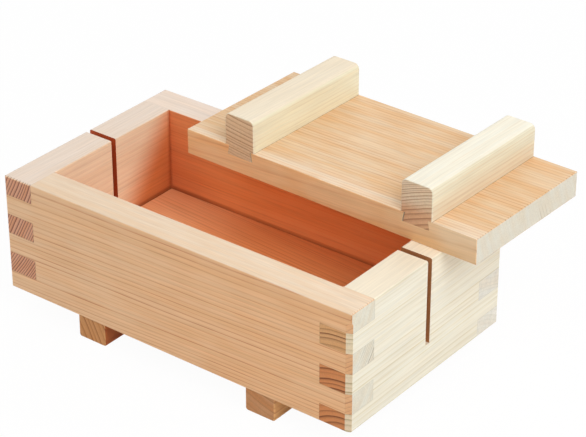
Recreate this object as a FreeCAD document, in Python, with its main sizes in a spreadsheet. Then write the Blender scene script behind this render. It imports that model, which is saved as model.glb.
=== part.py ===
import FreeCAD, Part
import os
import re
import Sketcher

# Wooden box press for sushi rice. A finger-jointed frame stands round a loose bottom board on two
# feet, and a press lid with two handles lies across the frame's rim, turned and pushed to the back
# right. X runs along the box, Y from its front to its back, and Z up from the soles of the feet.
# The origin is on the ground under the middle of everything, lid included.

# Driving sizes, in millimetres and degrees.
sizes = {
    "box_length": 209.7,  # frame, outside, end to end
    "box_width": 119.9,  # frame, outside, front to back
    "box_height": 62.7,  # frame, without the feet
    "wall_thick": 17.3,  # stock of the four walls
    "finger_top": 10.4,  # height of the uppermost finger
    "finger_pitch": 10.7,  # height of each finger below it; the last takes what is left
    "corner_ease": 0.5,  # sanded flat down each upright corner
    "flat_front": 2.9,  # wider flat down the front right corner, measured across the front face
    "flat_side": 1.4,  # and across the right one
    "flat_stop": 3.6,  # rim to the upper end of this flat
    "flat_runout": 2.4,  # height over which it slopes out to the corner
    "rim_round": 0.9,  # outer edge of the rim
    "mouth_round": 0.7,  # inner edge of the rim
    "skirt_round": 0.6,  # outer lower edge of the frame
    "slit_width": 3.2,  # knife slit in each end wall
    "slit_sink": 0.4,  # how far a slit runs below the top of the bottom board
    "board_thick": 17.7,  # bottom board
    "board_play": 1,  # between the board and each wall round it
    "foot_width": 17.4,  # along X
    "foot_height": 12.9,  # ground to the underside of frame and board
    "foot_inset": 43.8,  # end of the box to the side of the foot
    "foot_recess": 1,  # foot's end behind the face of the wall
    "sole_round": 1.5,  # long lower edges of a foot
    "plate_thick": 13.5,  # press plate
    "plate_play": 1,  # between the plate and each wall, once it is in the frame
    "handle_width": 17.7,  # along X
    "handle_height": 17.1,  # above the plate
    "handle_inset": 24.8,  # end of the plate to the side of the handle
    "grip_round": 2.9,  # long upper edges of a handle
    "tail_depth": 5,  # sliding dovetails, under the handles and on the feet
    "tail_shoulder": 2.3,  # side of a handle or foot to the neck of its dovetail
    "tail_flare": 0.9,  # how much wider each side of a dovetail is at its end
    "tail_play": 0.5,  # gap on the side of each dovetail that faces the middle
    "soft_edge": 0.8,  # sanded ends of the feet
    "fine_edge": 0.5,  # sanded edges of the board, the plate and the handles' ends
    "lid_shift_x": 38.2,  # middle of the frame to the middle of the lid, to the right
    "lid_shift_y": 52,  # and to the back
    "lid_yaw": -1.21,  # turn of the lid on the rim, seen from above
}

# Lengths that follow from them, as formulas of the names above.
board_length = "(box_length - 2 * wall_thick - 2 * board_play)"
board_width = "(box_width - 2 * wall_thick - 2 * board_play)"
plate_length = "(box_length - 2 * wall_thick - 2 * plate_play)"
plate_width = "(box_width - 2 * wall_thick - 2 * plate_play)"
foot_middle = "(box_length / 2 - foot_inset - foot_width / 2)"
handle_middle = f"({plate_length} / 2 - handle_inset - handle_width / 2)"
lid_cos = "cos(lid_yaw * 1 deg)"
lid_sin = "abs(sin(lid_yaw * 1 deg))"
lid_reach_x = f"(lid_shift_x + ({plate_length} * {lid_cos} + {plate_width} * {lid_sin}) / 2)"
lid_reach_y = f"(lid_shift_y + ({plate_width} * {lid_cos} + {plate_length} * {lid_sin}) / 2)"
frame_x = f"((box_length / 2 - {lid_reach_x}) / 2)"
frame_y = f"((box_width / 2 - {lid_reach_y}) / 2)"

lid_place = (
    f"{frame_x} + lid_shift_x",
    f"{frame_y} + lid_shift_y",
    "foot_height + box_height",
    "lid_yaw",
)

overrun = 1  # how far a cutter runs past the wood, so that it leaves no skin
hair = 0.001  # slack when edges are picked by their place

doc = FreeCAD.newDocument("rice_press")


def fill_sheet():
    """Put every driving size in the spreadsheet, under an alias of its own."""
    page = doc.addObject("Spreadsheet::Sheet", "sizes")
    for row, (name, value) in enumerate(sizes.items(), start=1):
        page.set(f"A{row}", name)
        page.set(f"B{row}", str(value))
        page.setAlias(f"B{row}", name)
    doc.recompute()
    return page


def bound(formula):
    """Write a formula of size names as an expression on the sheet."""
    return re.sub(r"[a-z]+(_[a-z]+)+", r"<<sizes>>.\g<0>", formula)


def worth(formula):
    """The number that a formula of size names comes to."""
    return float(sheet.evalExpression(bound(formula)))


def same(one, other):
    """Whether two lengths are equal."""
    return abs(one - other) < hair


def new_body(label):
    """Start a sub-part."""
    body = doc.addObject("PartDesign::Body", label)
    body.Label = label
    return body


def set_down(body, x, y, z, yaw="0"):
    """Put a finished sub-part where it belongs, turned about an upright axis."""
    upright = FreeCAD.Vector(0, 0, 1)
    body.Placement = FreeCAD.Placement(FreeCAD.Vector(), FreeCAD.Rotation(upright, worth(yaw)))
    body.setExpression("Placement.Base.x", bound(x))
    body.setExpression("Placement.Base.y", bound(y))
    body.setExpression("Placement.Base.z", bound(z))
    body.setExpression("Placement.Rotation.Angle", bound(f"({yaw}) * 1 deg"))
    doc.recompute()


def draw(body, plane, name, loops):
    """Sketch closed outlines on one of the body's planes, every corner held by its two formulas."""
    sketch = body.newObject("Sketcher::SketchObject", name)
    support = next(item for item in body.Origin.OriginFeatures if item.Role == plane)
    sketch.AttachmentSupport = [(support, "")]
    sketch.MapMode = "FlatFace"
    for corners in loops:
        first = sketch.GeometryCount
        places = [FreeCAD.Vector(worth(x), worth(y), 0) for x, y in corners]
        for start, end in zip(places, places[1:] + places[:1]):
            sketch.addGeometry(Part.LineSegment(start, end))
        for step in range(len(corners)):
            after = first + (step + 1) % len(corners)
            sketch.addConstraint(Sketcher.Constraint("Coincident", first + step, 2, after, 1))
        for line, (corner, place) in enumerate(zip(corners, places), start=first):
            for way, formula, value in zip(("DistanceX", "DistanceY"), corner, place):
                held = sketch.addConstraint(Sketcher.Constraint(way, -1, 1, line, 1, value))
                sketch.setExpression(f"Constraints[{held}]", bound(formula))
    return sketch


def oblong(left, right, low, high):
    """The four corners of an upright rectangle."""
    return [(left, low), (right, low), (right, high), (left, high)]


def pad(body, name, sketch, length):
    """Extrude a sketch evenly to both sides of its plane."""
    feature = body.newObject("PartDesign::Pad", name)
    feature.Profile = sketch
    feature.SideType = "Symmetric"
    feature.setExpression("Length", bound(length))
    doc.recompute()


def cut(body, name, sketch):
    """Cut a sketch right through the body, and make sure that wood came away."""
    before = body.Shape.Volume
    feature = body.newObject("PartDesign::Pocket", name)
    feature.Profile = sketch
    feature.SideType = "Symmetric"
    feature.Type = "ThroughAll"
    doc.recompute()
    if body.Shape.Volume >= before:
        raise ValueError(f"{body.Label}: {name} cut nothing")


def round_off(body, name, radius, wanted):
    """Round those edges of the body whose halfway point passes the test."""
    base = body.Tip
    picked = []
    for number, edge in enumerate(base.Shape.Edges, start=1):
        if wanted(edge.valueAt((edge.FirstParameter + edge.LastParameter) / 2)):
            picked.append(f"Edge{number}")
    if not picked:
        raise ValueError(f"{body.Label}: {name} found no edge")
    feature = body.newObject("PartDesign::Fillet", name)
    feature.Base = (base, picked)
    feature.setExpression("Radius", bound(radius))
    doc.recompute()


def finger_levels():
    """Heights that part the fingers, from the rim down to the lower edge."""
    count = max(2, round(worth("(box_height - finger_top) / finger_pitch")))
    steps = [f"box_height - finger_top - {step} * finger_pitch" for step in range(count)]
    return ["box_height", *steps, "0"]


def finger_faces(half):
    """The fingers, counted from the rim: the odd ones are at the right end, the even at the left."""
    levels = finger_levels()
    root = f"({half} - wall_thick)"
    fingers = []
    for count, (high, low) in enumerate(zip(levels, levels[1:])):
        ends = (root, half) if count % 2 == 0 else (f"-{half}", f"-{root}")
        fingers.append(oblong(*ends, low, high))
    return fingers


def corner_wedges(half):
    """Plan of the two wedges that are sanded off the outer upright corners."""
    out = f"(-wall_thick / 2 - {overrun})"
    back = f"({out} + corner_ease + 2 * {overrun})"
    reach = f"({half} + {overrun})"
    start = f"({half} - corner_ease - {overrun})"
    return [
        [(f"-{reach}", out), (f"-{start}", out), (f"-{reach}", back)],
        [(start, out), (reach, out), (reach, back)],
    ]


def cut_stopped_flat(body, half, end, along, deep):
    """Plane a flat down the outer corner at one end, up to a slope that stops below the rim."""
    slant = f"sqrt({along} ^ 2 + {deep} ^ 2)"
    corner = f"(({half} * {deep} + wall_thick / 2 * {along}) / {slant})"
    face = f"({corner} - {along} * {deep} / {slant})"
    out = f"({corner} + {overrun})"
    stop = "box_height - flat_stop"
    outline = [(face, f"-{overrun}"), (out, f"-{overrun}"), (out, stop), (corner, stop),
               (face, f"{stop} - flat_runout")]
    sketch = draw(body, "XZ_Plane", "flat", [[(f"{end} * {u}", z) for u, z in outline]])
    turn = FreeCAD.Rotation(FreeCAD.Vector(0, 1, 0), 1)
    sketch.AttachmentOffset = FreeCAD.Placement(FreeCAD.Vector(), turn)
    sketch.setExpression("AttachmentOffset.Rotation.Angle", bound(f"{-end} * atan2({along}; {deep})"))
    cut(body, "stopped_flat", sketch)


def make_wall(label, length, slit, flat):
    """One wall of the frame, outer face towards -y, with fingers that reach past its neighbours."""
    body = new_body(label)
    half = f"({length} / 2)"
    inner, top = worth("wall_thick / 2"), worth("box_height")
    root = f"({half} - wall_thick)"
    pad(body, "panel", draw(body, "XZ_Plane", "face", [oblong(f"-{root}", root, "0", "box_height")]),
        "wall_thick")
    round_off(body, "mouth", "mouth_round",
              lambda spot: same(spot.z, top) and same(spot.y, inner))
    pad(body, "fingers", draw(body, "XZ_Plane", "finger_faces", finger_faces(half)), "wall_thick")
    if slit:
        slot = oblong("-slit_width / 2", "slit_width / 2", "board_thick - slit_sink",
                      f"box_height + {overrun}")
        cut(body, "knife_slit", draw(body, "XZ_Plane", "slit", [slot]))

    end = worth(half)

    def on_outline(spot):
        return same(spot.y, -inner) or same(abs(spot.x), end)

    round_off(body, "rim", "rim_round", lambda spot: same(spot.z, top) and on_outline(spot))
    round_off(body, "skirt", "skirt_round", lambda spot: same(spot.z, 0) and on_outline(spot))
    cut(body, "corner_eases", draw(body, "XY_Plane", "corners", corner_wedges(half)))
    if flat:
        cut_stopped_flat(body, half, *flat)
    return body


def make_frame():
    """The four walls, each jointed to the next."""
    along = "(box_width / 2 - wall_thick / 2)"
    across = "(box_length / 2 - wall_thick / 2)"
    walls = (
        ("front_wall", "box_length", False, (1, "flat_front", "flat_side"),
         frame_x, f"{frame_y} - {along}", "0"),
        ("right_wall", "box_width", True, (-1, "flat_side", "flat_front"),
         f"{frame_x} + {across}", frame_y, "90"),
        ("back_wall", "box_length", False, None, frame_x, f"{frame_y} + {along}", "180"),
        ("left_wall", "box_width", True, None, f"{frame_x} - {across}", frame_y, "270"),
    )
    for label, length, slit, flat, x, y, yaw in walls:
        set_down(make_wall(label, length, slit, flat), x, y, "foot_height", yaw)


def dovetail(side, middle, width, level, way):
    """Corners of the tail under a handle or on a foot, which widens towards its tip."""
    neck = f"({width} / 2 - tail_shoulder)"
    tip = f"{level} {way} tail_depth"
    return [
        (f"{side} * ({middle} + {neck})", level),
        (f"{side} * ({middle} + {neck} + tail_flare)", tip),
        (f"{side} * ({middle} - {neck} - tail_flare)", tip),
        (f"{side} * ({middle} - {neck})", level),
    ]


def dovetail_socket(side, middle, width, level, way):
    """Corners of the groove that takes such a tail, with its play on the side of the middle."""
    outer_neck, outer_tip, inner_tip, inner_neck = dovetail(side, middle, width, level, way)
    inner_tip = (f"{inner_tip[0]} - {side} * tail_play", inner_tip[1])
    inner_neck = (f"{inner_neck[0]} - {side} * tail_play", level)
    mouth = f"{level} {'-' if way == '+' else '+'} {overrun}"
    return [outer_neck, outer_tip, inner_tip, inner_neck, (inner_neck[0], mouth), (outer_neck[0], mouth)]


def make_panel(label, length, width, thick, sockets):
    """A flat board with dovetail grooves across it from front to back."""
    body = new_body(label)
    half = f"({length} / 2)"
    pad(body, "stock", draw(body, "XZ_Plane", "edge_face", [oblong(f"-{half}", half, "0", thick)]), width)
    cut(body, "grooves", draw(body, "XZ_Plane", "groove_ends", sockets))
    return body


def arris_of(length, width, thick):
    """A test for the outer edges of a flat board: whether a point lies on two of its faces."""
    end, side, top = worth(f"{length} / 2"), worth(f"{width} / 2"), worth(thick)

    def wanted(spot):
        faces = (same(abs(spot.x), end), same(abs(spot.y), side), same(spot.z, top) or same(spot.z, 0))
        return sum(faces) == 2

    return wanted


def make_bottom_board():
    """The loose board that the frame stands round, grooved underneath for its feet."""
    sockets = [dovetail_socket(side, foot_middle, "foot_width", "0", "+") for side in (-1, 1)]
    body = make_panel("bottom_board", board_length, board_width, "board_thick", sockets)
    round_off(body, "arris", "fine_edge", arris_of(board_length, board_width, "board_thick"))
    set_down(body, frame_x, frame_y, "foot_height")


def make_foot(label, side):
    """A foot from front to back, under the board and the frame, held by a dovetail in the board."""
    body = new_body(label)
    middle = f"({side} * {foot_middle})"
    profile = oblong(f"{middle} - foot_width / 2", f"{middle} + foot_width / 2", "0", "foot_height")
    pad(body, "bar", draw(body, "XZ_Plane", "bar_end", [profile]), "box_width - 2 * foot_recess")
    tail = dovetail(side, foot_middle, "foot_width", "foot_height", "+")
    pad(body, "tail", draw(body, "XZ_Plane", "tail_end", [tail]), board_width)

    end, top = worth("box_width / 2 - foot_recess"), worth("foot_height")
    round_off(body, "sole", "sole_round",
              lambda spot: same(spot.z, 0) and same(spot.y, 0))
    round_off(body, "ends", "soft_edge",
              lambda spot: same(abs(spot.y), end) and not same(spot.z, top))
    set_down(body, frame_x, frame_y, "0")


def make_press_plate():
    """The plate that goes down into the frame, grooved on top for its handles."""
    sockets = [dovetail_socket(side, handle_middle, "handle_width", "plate_thick", "-")
               for side in (-1, 1)]
    body = make_panel("press_plate", plate_length, plate_width, "plate_thick", sockets)
    round_off(body, "arris", "fine_edge", arris_of(plate_length, plate_width, "plate_thick"))
    set_down(body, *lid_place)


def make_handle(label, side):
    """A handle across the plate, rounded for the hands, with a dovetail along its underside."""
    body = new_body(label)
    middle = f"({side} * {handle_middle})"
    profile = oblong(f"{middle} - handle_width / 2", f"{middle} + handle_width / 2",
                     "plate_thick", "plate_thick + handle_height")
    pad(body, "bar", draw(body, "XZ_Plane", "bar_end", [profile]), plate_width)
    tail = dovetail(side, handle_middle, "handle_width", "plate_thick", "-")
    pad(body, "tail", draw(body, "XZ_Plane", "tail_end", [tail]), plate_width)

    end, foot, top = worth(f"{plate_width} / 2"), worth("plate_thick"), worth("plate_thick + handle_height")
    round_off(body, "grip", "grip_round",
              lambda spot: same(spot.z, top) and same(spot.y, 0))
    round_off(body, "ends", "fine_edge",
              lambda spot: same(abs(spot.y), end) and spot.z > foot + hair)
    set_down(body, *lid_place)


def check_and_write():
    """Stop if anything in the document failed, then write each sub-part to its own file."""
    for item in doc.Objects:
        if "Invalid" in item.State or "Error" in item.State:
            raise ValueError(f"{item.Label} failed: {item.State}")
    bodies = [item for item in doc.Objects if item.TypeId == "PartDesign::Body"]
    for body in bodies:
        if body.Shape.isNull() or not body.Shape.isValid() or len(body.Shape.Solids) != 1:
            raise ValueError(f"{body.Label} isn't one sound solid")
    for body in bodies:
        body.Shape.exportStep(f"parts/{body.Label}.step")
        box = body.Shape.BoundBox
        print(f"{body.Label}: {box.XLength:.1f} x {box.YLength:.1f} x {box.ZLength:.1f} mm")


os.makedirs("parts", exist_ok=True)
sheet = fill_sheet()
make_bottom_board()
make_foot("left_foot", -1)
make_foot("right_foot", 1)
make_frame()
make_press_plate()
make_handle("left_handle", -1)
make_handle("right_handle", 1)
doc.recompute()
check_and_write()
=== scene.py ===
import math

import bpy
from mathutils import Matrix, Vector


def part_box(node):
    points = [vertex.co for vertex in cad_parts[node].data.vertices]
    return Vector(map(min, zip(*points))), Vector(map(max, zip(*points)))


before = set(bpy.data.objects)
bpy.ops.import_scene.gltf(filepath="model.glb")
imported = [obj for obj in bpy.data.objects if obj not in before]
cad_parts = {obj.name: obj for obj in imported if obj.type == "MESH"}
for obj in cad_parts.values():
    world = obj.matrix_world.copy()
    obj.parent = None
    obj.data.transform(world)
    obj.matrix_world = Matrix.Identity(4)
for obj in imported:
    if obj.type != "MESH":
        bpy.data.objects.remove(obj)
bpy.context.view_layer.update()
print("frame loaded:", len(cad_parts), "boards")

millimetre = 0.001
white = (1, 1, 1, 1)
up, right, left, front, back = (0, 0, 1), (1, 0, 0), (-1, 0, 0), (0, -1, 0), (0, 1, 0)
frontRight = (0.707, -0.707, 0)    # the way that the flat on the box's front right corner looks
frontUp = (0, -0.81, 0.58)         # forwards, and rather less upwards


def toLinear(code):  # sRGB hex to a linear colour
    shares = [int(code[place:place + 2], 16) / 255 for place in (1, 3, 5)]
    return [s / 12.92 if s <= 0.04045 else ((s + 0.055) / 1.055) ** 2.4 for s in shares] + [1.0]


def add(tree, kind, inputs=None, stops=(), **settings):  # a node, its settings, and what goes into it
    node = tree.nodes.new(kind)
    for name, value in settings.items():
        setattr(node, name, value)
    for number, (spot, value) in enumerate(stops):  # grey steps of a colour ramp
        points = node.color_ramp.elements
        point = points[number] if number < 2 else points.new(spot)
        point.position, point.color = spot, (value, value, value, 1)
    for socket, value in (inputs or {}).items():
        if isinstance(value, bpy.types.Node):  # a node stands for the first of its outputs in use
            value = next(output for output in value.outputs if output.enabled)
        if isinstance(value, bpy.types.NodeSocket):
            tree.links.new(value, node.inputs[socket])
        else:
            node.inputs[socket].default_value = value
    return node


def emptyTree(owner):  # the bare node tree of a new world or material
    owner.use_nodes = True
    owner.node_tree.nodes.clear()
    return owner.node_tree


# The camera stands to the front right and looks down on the box.
camera = {
    "azimuth": 37.813,     # degrees from the front, towards the right
    "elevation": 29.460,   # degrees above the ground
    "roll": -0.010,
    "distance": 1.101415,  # metres from the target
    "target": (-0.01092, 0.016535, 0.045412),
    "lens": 136.36,        # mm on a film of the next width
    "film": 36.0,
    "clip": (0.05, 50),    # metres, between which it sees
}


def setCamera(s):
    turn, rise, roll = (math.radians(s[name]) for name in ("azimuth", "elevation", "roll"))
    outwards = Vector((math.sin(turn) * math.cos(rise), -math.cos(turn) * math.cos(rise), math.sin(rise)))
    level = Vector((math.cos(turn), math.sin(turn), 0))
    upright = outwards.cross(level)
    sideways = level * math.cos(roll) + upright * math.sin(roll)
    upwards = upright * math.cos(roll) - level * math.sin(roll)
    data = bpy.data.cameras.new("camera")
    data.lens, data.sensor_width, data.sensor_fit = s["lens"], s["film"], "HORIZONTAL"
    data.clip_start, data.clip_end = s["clip"]
    seen = bpy.data.objects.new("camera", data)
    place = Matrix((sideways, upwards, outwards)).transposed().to_4x4()
    place.translation = Vector(s["target"]) + outwards * s["distance"]
    seen.matrix_world = place
    bpy.context.scene.collection.objects.link(seen)
    bpy.context.scene.camera = seen


setCamera(camera)

# Soft studio light. A level of 1 renders a facing white sheet as white. Lengths are in metres.
lamps = {
    "key": {"from": (0.74, -0.25, 0.84), "away": 1.7, "size": 1.3, "level": 0.57},
    "fill": {"from": (-0.20, -0.66, 0.72), "away": 1.9, "size": 1.6, "level": 0.14},
    "back": {"from": (-0.42, 0.68, 0.60), "away": 1.9, "size": 1.6, "level": 0.22},
}
room = {
    "skyLevel": 0.38,     # what the surroundings give every surface
    "floorSize": 14.0,    # metres
    "floorWhite": "#ffffff",
    "floorGlow": 0.96,    # share of plain white that the eye gets from the floor
}


def setLamp(name, s):
    data = bpy.data.lights.new(name, "AREA")
    data.shape, data.size = "DISK", s["size"]
    data.energy = s["level"] * (math.pi * s["away"]) ** 2
    lamp = bpy.data.objects.new(name, data)
    way = Vector(s["from"]).normalized()
    lamp.matrix_world = Matrix.Translation(way * s["away"]) @ way.to_track_quat("Z", "Y").to_matrix().to_4x4()
    bpy.context.scene.collection.objects.link(lamp)


def seenShare(tree):  # 1 where the eye or a reflection looks, and 0 for the light that surfaces gather
    path = add(tree, "ShaderNodeLightPath")
    return add(tree, "ShaderNodeMath", {0: path.outputs["Is Camera Ray"], 1: path.outputs["Is Glossy Ray"]},
               operation="MAXIMUM")


def setSky(s):  # plain white to the eye, and dimmer as a light
    world = bpy.data.worlds.new("studio")
    tree = emptyTree(world)
    level = add(tree, "ShaderNodeMapRange", {
        "Value": seenShare(tree), "To Min": s["skyLevel"], "To Max": 1.0})
    sky = add(tree, "ShaderNodeBackground", {"Color": white, "Strength": level})
    add(tree, "ShaderNodeOutputWorld", {"Surface": sky})
    bpy.context.scene.world = world


def layFloor(s):  # painted board: a plain pale floor that keeps a faint shadow
    paint = bpy.data.materials.new("mattWhitePaintedBoard")
    tree = emptyTree(paint)
    share = add(tree, "ShaderNodeMath", {0: seenShare(tree), 1: s["floorGlow"]}, operation="MULTIPLY")
    matt = add(tree, "ShaderNodeBsdfDiffuse", {"Color": toLinear(s["floorWhite"])})
    glow = add(tree, "ShaderNodeEmission", {"Color": white, "Strength": 1.0})
    both = add(tree, "ShaderNodeMixShader", {0: share, 1: matt, 2: glow})
    add(tree, "ShaderNodeOutputMaterial", {"Surface": both})

    half = s["floorSize"] / 2
    corners = [(-half, -half, 0), (half, -half, 0), (half, half, 0), (-half, half, 0)]
    mesh = bpy.data.meshes.new("floor")
    mesh.from_pydata(corners, [], [(0, 1, 2, 3)])
    mesh.materials.append(paint)
    floor = bpy.data.objects.new("floor", mesh)
    bpy.context.scene.collection.objects.link(floor)


for name, settings in lamps.items():
    setLamp(name, settings)
setSky(room)
layFloor(room)
print("camera, lamps and floor set")

# Every board is hinoki cypress, planed and left bare: pale, straight-grained and nearly matt, with thin
# red-brown summer lines and ringed ends. The inside is painted redder and darker, most of all low down: this
# is painted shade. From here on, lengths are in millimetres where nothing else is said.
hinoki = {
    "yaw": 0.0,               # degrees that the board lies turned in plan
    "tilt": (0.0, 0.0),       # degrees: the grain's fall, and its turn, against the board
    "narrowing": 1.0,         # above 1, the lines stand closer away from the pith
    "drift": 1.1,             # how far the gap wanders, in lines
    "wave": 1.1,              # how far a line strays from straight
    "faint": 0.4,             # the weakest line against the strongest
    "sharp": 1.0,             # above 1, the lines get thinner
    "line": "#b8704a",        # the summer lines on the long faces
    "lines": 0.6,             # how strongly they show
    "arris": "#9c5c3c",       # the same lines where they are cut aslant, on rounded edges
    "arrisLines": 1.0,        # how strongly they show there
    "sides": {},              # the faces that differ from the board's own, by the way they look: partly the wood's own colour, partly painted light and shade
    "tone": 0.015,            # how far broad streaks go lighter or darker
    "flush": 0.15,            # how far the colour wanders between straw and pink
    "endFlush": 0.3,          # the same on the ends
    "endFrom": (0.93, 0.98),  # how far a surface looks along the grain where it begins to be an end, and is
    "endSpring": "#d8a878",   # the ends' ground
    "endSummer": "#8a5230",   # the rings on them
    "endLow": None,           # their ground before the start of endOver, where it differs
    "endOver": (up, 40, 50),  # the way that the ground changes along, with its start and stop
    "rings": None,            # where the rings show best, how far they do, and their share beyond
    "bold": 1.0,              # above 1, the rings get broader
    "wall": None,             # in the frame: its turn round the box, and the size of the box that it spans
    "slit": None,             # the colour of a knife slit's cheeks, darker and redder: painted shade
    "seats": None,            # how dark the hairlines are along what stands on the board
    "roughness": 0.64,
}

# The figure that all boards share. A cell is so long along the grain, and so wide across it. A pair under a
# name in From is the reach of a noise, and the pair under its name in To is what that becomes.
figure = {
    "wander": {"cell": (160, 22), "detail": 2.0, "roughness": 0.45},    # how the grain strays
    "fibre": {"cell": (28, 0.8), "detail": 2.5, "roughness": 0.6},
    "streak": {"cell": (90, 4), "detail": 2.0, "roughness": 0.5},
    "blush": {"cell": (26, 9), "detail": 2.0, "roughness": 0.5},        # patches of straw and pink
    "patch": 6.0,                 # how broad the patches are in which rings fade
    "driftScale": 0.23,           # waves of the drifting gap to a line
    "moodScale": 0.4,             # waves of the colour to a line
    "rarity": 1.3,                # above 1, strong lines are rarer than faint ones
    # Through a year: the point in it, and how much of the wood there is summer wood.
    "season": ((0.0, 0.35), (0.07, 0.0), (0.45, 0.06), (0.74, 0.4), (0.9, 1.0), (0.97, 0.95), (1.0, 0.35)),
    "aslant": (0.12, 0.3),        # how far a surface looks along the grain where arris lines begin, and rule
    "fadeFrom": (0.35, 0.65), "fadeTo": (0.7, 1.15),        # a line comes and goes along the board
    "moodFrom": (0.8, 1.2),       # where the colour is all straw, and all pink
    "straw": (1.04, 1.08, 1.14), "pink": (1.0, 0.88, 0.74),    # what they multiply it by
    "ringFrom": (1.0, 1.7),       # where rings begin to fade, and have faded
    "fibreFrom": (0.25, 0.75), "fibreTo": (0.91, 1.08),     # fibres are darker and lighter
    "streakFrom": (0.3, 0.7),
    "gloss": (-0.06, 0.08),       # and smoother and rougher
    "relief": 0.6,                # the fibres' height against the summer lines'
    "bump": 0.35,                 # how strongly that relief shows
    "bumpHeight": 0.08,
    "index": 1.45, "shine": 0.3,    # the wood's index of refraction, and its specular level
}
# What "sides" holds of each side, beside the way that it looks, its colour and the strength of its lines.
anySide = {
    "within": (0.5, 0.85),    # how squarely a surface looks that way where the colour begins and is full
    "low": None,              # the colour before the start of "over", where it differs
    "over": (up, 36, 66),     # the way that the colour changes along, with its start and stop
    "corner": None,           # painted shade: a darker tint in the box's corners, and how wide it is at the rim and at the floor
}

# What the eye sees of the frame's finger joints is a hairline of glue round every finger. Their sizes come
# from the walls' boxes, each of which is a low and a high corner.
wallBox = {side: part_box(side + "_wall") for side in ("front", "back", "left", "right")}
joints = {
    "length": (wallBox["front"][1].x - wallBox["front"][0].x) / millimetre,
    "width": (wallBox["left"][1].y - wallBox["left"][0].y) / millimetre,
    "thick": (wallBox["front"][1].y - wallBox["front"][0].y) / millimetre,
    "middle": ((wallBox["front"][0].x + wallBox["front"][1].x) / 2 / millimetre,
               (wallBox["left"][0].y + wallBox["left"][1].y) / 2 / millimetre),
    "rim": wallBox["front"][1].z / millimetre,
    "firstFinger": 10.4,      # height of the uppermost finger
    "pitch": 10.7,            # height of each finger below it
    "line": 0.16,             # half the hairline's width
    "onSides": 0.15, "onRim": 0.05,    # how dark it is
    "slitReach": 4.0,         # how far from a knife slit's middle its cheeks are painted
}
farOff = 1.0                  # metres: a side of the inside that is set so far away gets no painted corner shade
cavity = {
    "low": Vector((wallBox["left"][1].x, -farOff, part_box("bottom_board")[1].z)),
    "high": Vector((wallBox["right"][0].x, wallBox["back"][0].y, farOff)),
}
handleMiddle = [(low + high) / 2 for low, high in (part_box(side + "_handle") for side in ("left", "right"))]
handles = {
    "apart": (handleMiddle[1] - handleMiddle[0]).length / 2 / millimetre,    # half the way between them
    "side": 9.0,              # from a handle's middle to the hairline along it
    "line": 0.2,              # half the hairline's width
}


def stretchedNoise(tree, spot, s):  # soft noise in cells that lie along the grain
    along, across = s["cell"]
    scaled = add(tree, "ShaderNodeVectorMath", {0: spot, 1: (1 / along, 1 / across, 1 / across)},
                 operation="MULTIPLY")
    return add(tree, "ShaderNodeTexNoise", {"Vector": scaled, "Scale": 1.0, "Detail": s["detail"],
                                            "Roughness": s["roughness"]}, noise_dimensions="3D")


def shareAlong(tree, place, way, start, stop):  # 0 before the start and 1 beyond the stop
    along = add(tree, "ShaderNodeVectorMath", {0: place.outputs["Object"], 1: way}, operation="DOT_PRODUCT")
    return add(tree, "ShaderNodeMapRange", {
        "Value": along, "From Min": start * millimetre, "From Max": stop * millimetre},
        interpolation_type="SMOOTHSTEP")


def paintedCornerShade(tree, place, s):  # painted shade: a darker tint in the inner corners of the box, for a face that looks into it
    low, high = cavity["low"], cavity["high"]
    off = add(tree, "ShaderNodeVectorMath", {0: place.outputs["Object"], 1: (low + high) / 2},
              operation="SUBTRACT")
    apart = add(tree, "ShaderNodeVectorMath", {0: off}, operation="ABSOLUTE")
    inside = add(tree, "ShaderNodeVectorMath", {0: (high - low) / 2, 1: apart}, operation="SUBTRACT")
    spot = add(tree, "ShaderNodeSeparateXYZ", {0: inside}).outputs

    # The face itself is nought away from one of the three sides, so the middle distance is the corner's.
    less = add(tree, "ShaderNodeMath", {0: spot["X"], 1: spot["Y"]}, operation="MINIMUM")
    more = add(tree, "ShaderNodeMath", {0: spot["X"], 1: spot["Y"]}, operation="MAXIMUM")
    capped = add(tree, "ShaderNodeMath", {0: more, 1: spot["Z"]}, operation="MINIMUM")
    distance = add(tree, "ShaderNodeMath", {0: less, 1: capped}, operation="MAXIMUM")

    height = add(tree, "ShaderNodeSeparateXYZ", {0: place.outputs["Object"]}).outputs["Z"]
    width = add(tree, "ShaderNodeMapRange", {
        "Value": height, "From Min": low.z, "From Max": joints["rim"] * millimetre,
        "To Min": s["atFloor"] * millimetre, "To Max": s["atRim"] * millimetre})
    share = add(tree, "ShaderNodeMath", {0: distance, 1: width}, operation="DIVIDE")
    clear = add(tree, "ShaderNodeMapRange", {"Value": share}, interpolation_type="SMOOTHSTEP")
    return add(tree, "ShaderNodeMix", {0: clear, 6: (*s["tint"], 1), 7: white}, data_type="RGBA")


# The ground colour goes by the way that a face looks, and so does the strength of its lines. Partly this is
# the wood's own colour and partly painted light and shade: tops paler, inner faces redder and darker.
def groundColour(tree, place, s):
    ground, lines = toLinear(s["face"]), s["lines"]
    for own in s["sides"].values():
        side = {**anySide, **own}
        towards = add(tree, "ShaderNodeVectorMath", {0: place.outputs["Normal"], 1: side["way"]},
                      operation="DOT_PRODUCT")
        least, most = side["within"]
        share = add(tree, "ShaderNodeMapRange", {"Value": towards, "From Min": least, "From Max": most},
                    interpolation_type="SMOOTHSTEP")
        changed = shareAlong(tree, place, *side["over"])
        paint = add(tree, "ShaderNodeMix", {0: changed, 6: toLinear(side["low"] or side["colour"]),
                                            7: toLinear(side["colour"])}, data_type="RGBA")
        # painted shade in the box's inner corners
        if side["corner"]:
            tint = paintedCornerShade(tree, place, side["corner"])
            paint = add(tree, "ShaderNodeVectorMath", {0: paint, 1: tint}, operation="MULTIPLY")
        ground = add(tree, "ShaderNodeMix", {0: share, 6: ground, 7: paint}, data_type="RGBA")
        lines = add(tree, "ShaderNodeMix", {0: share, 2: lines, 3: side["lines"]}, data_type="FLOAT")
    return ground, lines


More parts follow.
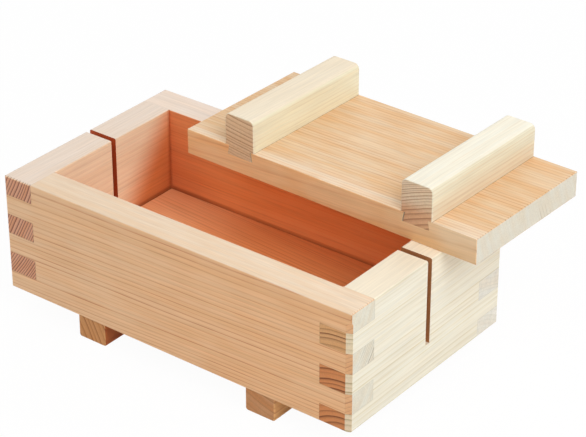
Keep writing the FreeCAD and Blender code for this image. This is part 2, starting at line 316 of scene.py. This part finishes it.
# Year rings: the distance from the pith over the gap, drifting from year to year. Gives how much summer
# wood there is at a spot, and the count of years there.
def yearRings(tree, spot, box, s):
    across = add(tree, "ShaderNodeVectorMath", {0: spot, 1: (0, 1, 1)}, operation="MULTIPLY")
    reach = add(tree, "ShaderNodeVectorMath", {0: across}, operation="LENGTH")
    off = (box[0] + box[1]) / 2 / millimetre - Vector(s["pith"])
    middle = math.hypot(off.y if s["along"] == "X" else off.x, off.z)
    part = add(tree, "ShaderNodeMath", {0: reach, 1: middle}, operation="DIVIDE")
    grown = add(tree, "ShaderNodeMath", {0: part, 1: s["narrowing"]}, operation="POWER")
    years = add(tree, "ShaderNodeMath", {0: grown, 1: middle / s["gap"] / s["narrowing"]},
                operation="MULTIPLY")
    drift = add(tree, "ShaderNodeTexNoise", {"W": years, "Scale": figure["driftScale"], "Detail": 1.0},
                noise_dimensions="1D")
    aged = add(tree, "ShaderNodeMath", {0: drift, 1: s["drift"] * 2, 2: years}, operation="MULTIPLY_ADD")
    year = add(tree, "ShaderNodeMath", {0: aged}, operation="FLOOR")
    season = add(tree, "ShaderNodeMath", {0: aged}, operation="FRACT")
    summer = add(tree, "ShaderNodeValToRGB", {"Fac": season}, stops=figure["season"])
    crisp = add(tree, "ShaderNodeMath", {0: summer, 1: s["sharp"]}, operation="POWER")
    harvest = add(tree, "ShaderNodeTexWhiteNoise", {"W": year}, noise_dimensions="1D")
    rare = add(tree, "ShaderNodeMath", {0: harvest, 1: figure["rarity"]}, operation="POWER")
    strong = add(tree, "ShaderNodeMapRange", {"Value": rare, "To Min": s["faint"], "To Max": 1.0})
    return add(tree, "ShaderNodeMath", {0: crisp, 1: strong}, operation="MULTIPLY"), aged


def flushed(tree, mood, share):  # what a colour is multiplied by, from straw to pink
    straw, pink = ([1 + (value - 1) * share for value in figure[tint]] + [1] for tint in ("straw", "pink"))
    return add(tree, "ShaderNodeMix", {0: mood, 6: straw, 7: pink}, data_type="RGBA")


# A line comes and goes along the board, and is strongest where the surface cuts it aslant.
def longFaces(tree, place, grain, s):
    ground, lines = groundColour(tree, place, s)
    aslant = add(tree, "ShaderNodeMapRange", {
        "Value": grain["square"], "From Min": figure["aslant"][0], "From Max": figure["aslant"][1]},
        interpolation_type="SMOOTHSTEP")
    fade = add(tree, "ShaderNodeMapRange", {
        "Value": grain["blush"], "From Min": figure["fadeFrom"][0], "From Max": figure["fadeFrom"][1],
        "To Min": figure["fadeTo"][0], "To Max": figure["fadeTo"][1]})
    faded = add(tree, "ShaderNodeMath", {0: grain["line"], 1: fade}, operation="MULTIPLY")
    drawn = add(tree, "ShaderNodeMath", {0: faded, 1: lines}, operation="MULTIPLY")
    cut = add(tree, "ShaderNodeMath", {0: grain["line"], 1: s["arrisLines"]}, operation="MULTIPLY")
    shown = add(tree, "ShaderNodeMix", {0: aslant, 2: drawn, 3: cut}, data_type="FLOAT")
    line, arris = ([ink / paper for ink, paper in zip(toLinear(s[name]), toLinear(s["face"]))]
                   for name in ("line", "arris"))
    ink = add(tree, "ShaderNodeMix", {0: aslant, 6: line, 7: arris}, data_type="RGBA")
    lined = add(tree, "ShaderNodeMix", {0: shown, 6: white, 7: ink}, data_type="RGBA")
    flush = flushed(tree, grain["mood"], s["flush"])
    tinted = add(tree, "ShaderNodeMix", {0: 1.0, 6: flush, 7: lined}, data_type="RGBA", blend_type="MULTIPLY")
    return add(tree, "ShaderNodeMix", {0: 1.0, 6: ground, 7: tinted}, data_type="RGBA", blend_type="MULTIPLY")


def ringStrength(tree, place, grain, s):  # rings fade in patches, and on some ends away from one spot
    if not s["rings"]:
        return s["bold"]
    best, reach, beyond = (s["rings"][name] for name in ("best", "reach", "beyond"))
    patch = add(tree, "ShaderNodeTexNoise", {"Vector": grain["local"], "Scale": 1 / figure["patch"],
                                             "Detail": 1.0}, noise_dimensions="3D")
    away = add(tree, "ShaderNodeVectorMath", {
        0: place.outputs["Object"], 1: [value * millimetre for value in best]}, operation="DISTANCE")
    faint = add(tree, "ShaderNodeMath", {0: away, 1: 1 / (reach * millimetre), 2: patch},
                operation="MULTIPLY_ADD")
    least, most = figure["ringFrom"]
    return add(tree, "ShaderNodeMapRange", {"Value": faint, "From Min": least, "From Max": most,
                                            "To Min": s["bold"], "To Max": beyond * s["bold"]},
               interpolation_type="SMOOTHSTEP")


def endGrain(tree, place, grain, s):  # rings on the ends, and the sawn cheeks of a knife slit, painted darker and redder as painted shade
    ringed = add(tree, "ShaderNodeMath", {0: grain["line"], 1: ringStrength(tree, place, grain, s)},
                 operation="MULTIPLY")
    risen = shareAlong(tree, place, *s["endOver"])
    spring = add(tree, "ShaderNodeMix", {0: risen, 6: toLinear(s["endLow"] or s["endSpring"]),
                                         7: toLinear(s["endSpring"])}, data_type="RGBA")
    flush = flushed(tree, grain["mood"], s["endFlush"])
    tinted = add(tree, "ShaderNodeMix", {0: 1.0, 6: spring, 7: flush}, data_type="RGBA",
                 blend_type="MULTIPLY")
    end = add(tree, "ShaderNodeMix", {0: ringed, 6: tinted, 7: toLinear(s["endSummer"])}, data_type="RGBA")
    if not s["slit"]:
        return end
    spot = add(tree, "ShaderNodeSeparateXYZ", {0: place.outputs["Object"]}).outputs
    off = add(tree, "ShaderNodeMath", {0: spot["Y"], 1: joints["middle"][1] * millimetre},
              operation="SUBTRACT")
    aside = add(tree, "ShaderNodeMath", {0: off}, operation="ABSOLUTE")
    near = add(tree, "ShaderNodeMath", {0: aside, 1: joints["slitReach"] * millimetre}, operation="LESS_THAN")
    return add(tree, "ShaderNodeMix", {0: near, 6: end, 7: toLinear(s["slit"])}, data_type="RGBA")


def glueLines(tree, place, s):  # what a wall's colour is multiplied by, for the hairlines round its fingers
    turn, length = s["wall"]
    middle = (*joints["middle"], joints["rim"] - joints["firstFinger"])
    own = add(tree, "ShaderNodeMapping", {
        "Vector": place.outputs["Object"],
        "Location": [value * millimetre for value in middle],
        "Rotation": (0, 0, math.radians(turn)),
        "Scale": (millimetre,) * 3,
    }, vector_type="TEXTURE")
    spot = add(tree, "ShaderNodeSeparateXYZ", {0: own}).outputs
    root = joints[length] / 2 - joints["thick"]
    across = joints["width" if length == "length" else "length"] / 2 - joints["thick"]
    along = add(tree, "ShaderNodeMath", {0: spot["X"]}, operation="ABSOLUTE")
    zone = add(tree, "ShaderNodeMath", {0: along, 1: root}, operation="GREATER_THAN")
    level = add(tree, "ShaderNodeMath", {0: spot["Z"], 1: joints["pitch"] / 2}, operation="PINGPONG")
    atLevel = add(tree, "ShaderNodeMath", {0: level, 1: joints["line"]}, operation="LESS_THAN")
    atBack = add(tree, "ShaderNodeMath", {0: spot["Y"], 1: -across, 2: joints["line"]}, operation="COMPARE")
    either = add(tree, "ShaderNodeMath", {0: atLevel, 1: atBack}, operation="MAXIMUM")
    inZone = add(tree, "ShaderNodeMath", {0: either, 1: zone}, operation="MULTIPLY")

    # At the root only where the neighbour's finger stands: the even ones to the right, the odd to the left.
    pair = add(tree, "ShaderNodeMath", {0: spot["Z"], 1: -1 / (2 * joints["pitch"])}, operation="MULTIPLY")
    step = add(tree, "ShaderNodeMath", {0: pair}, operation="FRACT")
    even = add(tree, "ShaderNodeMath", {0: step, 1: 0.5}, operation="LESS_THAN")
    rightward = add(tree, "ShaderNodeMath", {0: spot["X"], 1: 0.0}, operation="GREATER_THAN")
    notched = add(tree, "ShaderNodeMath", {0: even, 1: rightward, 2: 0.5}, operation="COMPARE")
    atRoot = add(tree, "ShaderNodeMath", {0: along, 1: root, 2: joints["line"]}, operation="COMPARE")
    rooted = add(tree, "ShaderNodeMath", {0: atRoot, 1: notched}, operation="MULTIPLY")
    hairline = add(tree, "ShaderNodeMath", {0: inZone, 1: rooted}, operation="MAXIMUM")

    upward = add(tree, "ShaderNodeVectorMath", {0: place.outputs["Normal"], 1: up}, operation="DOT_PRODUCT")
    depth = add(tree, "ShaderNodeMapRange", {"Value": upward, "To Min": joints["onSides"],
                                             "To Max": joints["onRim"]})
    glue = add(tree, "ShaderNodeMath", {0: hairline, 1: depth}, operation="MULTIPLY")
    return add(tree, "ShaderNodeMath", {0: 1.0, 1: glue}, operation="SUBTRACT")


def handleSeams(tree, place, box, s):  # the same for the plate, with a hairline on both sides of each handle
    own = add(tree, "ShaderNodeMapping", {
        "Vector": place.outputs["Object"], "Location": (box[0] + box[1]) / 2,
        "Rotation": (0, 0, math.radians(s["yaw"])), "Scale": (millimetre,) * 3}, vector_type="TEXTURE")
    spot = add(tree, "ShaderNodeSeparateXYZ", {0: own}).outputs
    across = add(tree, "ShaderNodeMath", {0: spot["X"]}, operation="ABSOLUTE")
    fromHandle = add(tree, "ShaderNodeMath", {0: across, 1: handles["apart"]}, operation="SUBTRACT")
    away = add(tree, "ShaderNodeMath", {0: fromHandle}, operation="ABSOLUTE")
    seam = add(tree, "ShaderNodeMath", {0: away, 1: handles["side"], 2: handles["line"]}, operation="COMPARE")
    upward = add(tree, "ShaderNodeVectorMath", {0: place.outputs["Normal"], 1: up}, operation="DOT_PRODUCT")
    onTop = add(tree, "ShaderNodeMath", {0: seam, 1: upward}, operation="MULTIPLY")
    return add(tree, "ShaderNodeMath", {0: onTop, 1: -s["seats"], 2: 1.0}, operation="MULTIPLY_ADD")


def shading(tree, place, grain, box, s):  # how light or dark fibres, streaks and hairlines make a spot
    fibre = add(tree, "ShaderNodeMapRange", {
        "Value": grain["fibre"], "From Min": figure["fibreFrom"][0], "From Max": figure["fibreFrom"][1],
        "To Min": figure["fibreTo"][0], "To Max": figure["fibreTo"][1]})
    streak = add(tree, "ShaderNodeMapRange", {
        "Value": grain["streak"], "From Min": figure["streakFrom"][0], "From Max": figure["streakFrom"][1],
        "To Min": 1 - s["tone"], "To Max": 1 + s["tone"]})
    level = add(tree, "ShaderNodeMath", {0: fibre, 1: streak}, operation="MULTIPLY")
    if s["wall"]:
        level = add(tree, "ShaderNodeMath", {0: level, 1: glueLines(tree, place, s)}, operation="MULTIPLY")
    if s["seats"]:
        level = add(tree, "ShaderNodeMath", {0: level, 1: handleSeams(tree, place, box, s)},
                    operation="MULTIPLY")
    return level


def plankWood(name, own):
    s = {**hinoki, **own}
    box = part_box(name)
    wood = bpy.data.materials.new("planedHinoki_" + name)
    tree = emptyTree(wood)

    # Along x the grain runs, and y and z go out from the pith.
    turn = math.radians({"X": 0, "Y": 90}[s["along"]] + s["yaw"] + s["tilt"][1])
    fall = math.radians(s["tilt"][0])
    place = add(tree, "ShaderNodeTexCoord")
    local = add(tree, "ShaderNodeMapping", {
        "Vector": place.outputs["Object"],
        "Location": [value * millimetre for value in s["pith"]],
        "Rotation": (0, fall, turn),
        "Scale": (millimetre,) * 3,
    }, vector_type="TEXTURE")

    # The noise lies round a half, so that the grain strays both ways.
    wander = stretchedNoise(tree, local, figure["wander"])
    astray = add(tree, "ShaderNodeVectorMath", {0: wander.outputs["Color"], 1: (0.5, 0.5, 0.5)},
                 operation="SUBTRACT")
    moved = add(tree, "ShaderNodeVectorMath", {0: astray, 1: (0, s["wave"] * 2, s["wave"] * 2), 2: local},
                operation="MULTIPLY_ADD")

    # Fibres make fine lines along the board and speckle on its ends. A real one is some 0.03 wide, too thin
    # to show, so a cell stands for a bundle of them.
    fibre, streak, blush = (stretchedNoise(tree, moved, figure[kind])
                            for kind in ("fibre", "streak", "blush"))
    line, aged = yearRings(tree, moved, box, s)
    era = add(tree, "ShaderNodeTexNoise", {"W": aged, "Scale": figure["moodScale"], "Detail": 1.0},
              noise_dimensions="1D")
    both = add(tree, "ShaderNodeMath", {0: blush, 1: era}, operation="ADD")
    mood = add(tree, "ShaderNodeMapRange", {
        "Value": both, "From Min": figure["moodFrom"][0], "From Max": figure["moodFrom"][1]})
    runs = (math.cos(turn) * math.cos(fall), math.sin(turn) * math.cos(fall), -math.sin(fall))
    facing = add(tree, "ShaderNodeVectorMath", {0: place.outputs["Normal"], 1: runs}, operation="DOT_PRODUCT")
    square = add(tree, "ShaderNodeMath", {0: facing}, operation="ABSOLUTE")
    grain = {"local": local, "line": line, "fibre": fibre, "streak": streak, "blush": blush, "mood": mood,
             "square": square}

    # Where the surface looks along the grain it is an end.
    end = add(tree, "ShaderNodeMapRange", {
        "Value": square, "From Min": s["endFrom"][0], "From Max": s["endFrom"][1]},
        interpolation_type="SMOOTHSTEP")
    board = add(tree, "ShaderNodeMix", {0: end, 6: longFaces(tree, place, grain, s),
                                        7: endGrain(tree, place, grain, s)}, data_type="RGBA")
    colour = add(tree, "ShaderNodeVectorMath", {0: board, 1: shading(tree, place, grain, box, s)},
                 operation="MULTIPLY")

    # Summer wood is harder and stands a little proud of the planed face.
    relief = add(tree, "ShaderNodeMath", {0: fibre, 1: figure["relief"], 2: line}, operation="MULTIPLY_ADD")
    bump = add(tree, "ShaderNodeBump", {"Height": relief, "Strength": figure["bump"],
                                        "Distance": figure["bumpHeight"] * millimetre})
    gloss = add(tree, "ShaderNodeMapRange", {
        "Value": fibre, "From Min": figure["fibreFrom"][0], "From Max": figure["fibreFrom"][1],
        "To Min": s["roughness"] + figure["gloss"][0], "To Max": s["roughness"] + figure["gloss"][1]})
    face = add(tree, "ShaderNodeBsdfPrincipled", {
        "Base Color": colour, "Roughness": gloss, "IOR": figure["index"],
        "Specular IOR Level": figure["shine"], "Normal": bump})
    add(tree, "ShaderNodeOutputMaterial", {"Surface": face})
    return wood


lidTurn = -1.21    # degrees, as the lid lies on the rim

# One plank each, so that no two boards share a figure. "along" is the way of the grain, "pith" the middle of
# the tree in the part's own millimetres, "gap" that between two lines at the board's middle, and "face" the
# ground of the long outer faces.
planks = {
    "front_wall": {
        "along": "X", "pith": (-10, -200, 135), "gap": 1.45, "drift": 0.5, "tilt": (-1.9, 0.2), "flush": 0.35,
        "wall": (0, "length"), "face": "#eabd91", "line": "#b9683f", "sharp": 1.9, "lines": 0.75,
        # painted light: the ends are paler at the right-hand end, as the brightly lit right face looks
        "arrisLines": 0.7, "endFrom": (0.86, 0.95), "endSpring": "#e0dac8", "endSummer": "#7c6c5c",
        "endLow": "#d2b48e", "endOver": (right, -60, 60),
        "rings": {"best": (94.5, -62, 48), "reach": 8, "beyond": 0.12},
        "sides": {
            "front": {"way": front, "low": "#e6be95", "colour": "#e8b98b", "over": (right, -110, 60),
                      "lines": 0.75},
            "rim": {"way": up, "low": "#ecd4b8", "colour": "#f0d8bc", "over": (right, -90, 40),
                    "lines": 0.06},
            "flat": {"way": frontRight, "within": (0.9, 0.97), "colour": "#d09c70", "lines": 0.9},
            # painted shade: the inside goes redder and darker low down
            "inside": {"way": back, "low": "#e89c68", "colour": "#f0bd92", "lines": 0.4},
        },
    },
    "back_wall": {
        "along": "X", "pith": (-10, 10, -40), "gap": 2.2, "tone": 0.05, "flush": 0.3,
        # painted light: the ends are paler at the right-hand end, as the brightly lit right face looks
        "wall": (180, "length"), "face": "#ecc196", "endSpring": "#e4dfd2", "endSummer": "#d6d0c0",
        "endLow": "#d6b993", "endOver": (right, -60, 60),
        "sides": {
            "rim": {"way": up, "colour": "#f2e1d2", "lines": 0.06},
            # painted shade: the inside goes darker towards the left end, and darker still in the corners
            "inside": {"way": front, "low": "#ec9965", "colour": "#ffac6e", "over": (right, -95, -45),
                       "lines": 0.3, "corner": {"tint": (0.78, 0.66, 0.6), "atRim": 1.3, "atFloor": 1.8}},
        },
    },
    "left_wall": {
        "along": "Y", "pith": (-323, -18, 169), "gap": 1.45, "drift": 0.6, "faint": 0.6, "narrowing": 4.5,
        "bold": 1.4, "wall": (270, "width"), "slit": "#c65b2d", "face": "#ecc9a0", "lines": 0.4,
        "endSpring": "#d8a080", "endSummer": "#74402e", "endFlush": 0.6,
        "sides": {
            "rim": {"way": up, "colour": "#eedccb", "lines": 0.06},
            # painted shade: the inside goes redder and darker low down and towards the back, and darker still
            # in the corners
            "inside": {"way": right, "low": "#e09058", "colour": "#f8e4c4", "over": (frontUp, 14, 38),
                       "lines": 0.2, "corner": {"tint": (0.75, 0.6, 0.55), "atRim": 2.0, "atFloor": 3.0}},
        },
    },
    "right_wall": {
        "along": "Y", "pith": (94, -18, -8), "gap": 2.8, "faint": 0.15, "bold": 1.6, "wall": (90, "width"),
        # partly painted light: the board is paler than the others, as its brightly lit right face looks
        "slit": "#b87d4e", "face": "#eee8d6", "line": "#cbb985", "arris": "#b7a67a", "lines": 0.6,
        "endFrom": (0.86, 1.0), "endSpring": "#d7a470", "endSummer": "#7a4426",
        "endLow": "#cf8854", "endOver": (up, 44, 54),
        "sides": {
            "rim": {"way": up, "colour": "#f7e9d0", "lines": 0.06},
            "flat": {"way": frontRight, "within": (0.9, 0.97), "colour": "#dacdaa", "lines": 0.4},
            # painted shade: the inside goes redder and darker low down
            "inside": {"way": left, "low": "#e8965f", "colour": "#f0c298", "lines": 0.4},
        },
    },
    "bottom_board": {
        "along": "X", "pith": (-10, -300, -60), "gap": 2.1, "tilt": (0.0, -4.0),
        "face": "#ecc196", "line": "#a85a34", "lines": 0.35,
        "sides": {
            # painted shade and shadow: the floor goes darker towards the right, under the lid, and darker
            # still in the corners
            "floor": {"way": up, "low": "#f8b684", "colour": "#ec9c60", "over": (right, -90, -20),
                      "lines": 0.35, "corner": {"tint": (0.6, 0.55, 0.52), "atRim": 1.8, "atFloor": 1.8}},
        },
    },
    "left_foot": {
        "along": "Y", "pith": (-108, -18, -15), "gap": 3.2, "face": "#d8a46e",
        "endSpring": "#ca9460", "endSummer": "#9c5f33", "endFlush": 0.5,
        # painted shade: the side turned right, in the shade under the box, is darker and redder
        "sides": {"side": {"way": right, "colour": "#b26636", "lines": 0.6}},
    },
    "right_foot": {
        "along": "Y", "pith": (60, -18, 60), "gap": 3.0, "face": "#dca970",
        "endSpring": "#c18f65", "endSummer": "#a97a50", "endFlush": 1.2,
    },
    "press_plate": {
        "along": "X", "yaw": lidTurn, "pith": (27, 330, 190), "gap": 2.1, "drift": 0.5, "tilt": (-2.4, 0.8),
        "flush": 0.85, "face": "#ecc396", "line": "#b8683f", "sharp": 2.2, "seats": 0.35,
        # painted light: the end is paler at the right, as the brightly lit right-hand end looks
        "endSpring": "#ded7c6", "endSummer": "#b9a68e", "endLow": "#d9bc96", "endOver": (right, -20, 70),
        "rings": {"best": (114, 46, 76), "reach": 7, "beyond": 0.1},
        "sides": {
            "top": {"way": up, "low": "#f1d7b8", "colour": "#e9c8a0", "over": (back, -6, 8), "lines": 0.52},
            "front": {"way": front, "low": "#f8cb96", "colour": "#e2c19a", "over": (right, 50, 105),
                      "lines": 0.3},
        },
    },
    "left_handle": {
        "along": "Y", "yaw": lidTurn, "pith": (-10, 34, 215), "gap": 1.95, "narrowing": 4.4,
        "face": "#f5efd2", "line": "#cfa878", "lines": 0.25, "arrisLines": 0.3,
        "endSpring": "#e7cba5", "endSummer": "#a87c58",
        "sides": {"top": {"way": up, "colour": "#f5e7ce", "lines": 0.12}},
    },
    "right_handle": {
        "along": "Y", "yaw": lidTurn, "pith": (142, 34, -53), "gap": 1.7, "narrowing": 8.5,
        "face": "#ede6cc", "line": "#cf9c60", "lines": 0.35, "arrisLines": 0.4,
        "endSpring": "#e5d1b3", "endSummer": "#9c6644", "endLow": "#dbae88", "endOver": (up, 90, 98),
        "sides": {
            "top": {"way": up, "colour": "#faf5e3", "lines": 0.12},
            "side": {"way": right, "low": "#eddec2", "colour": "#ede6cc", "over": (up, 92, 101),
                     "lines": 0.35},
        },
    },
}
for name, settings in planks.items():
    wood = plankWood(name, settings)
    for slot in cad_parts[name].material_slots:
        slot.material = wood
print("boards finished:", len(planks))

bpy.context.scene.view_settings.view_transform = "Standard"
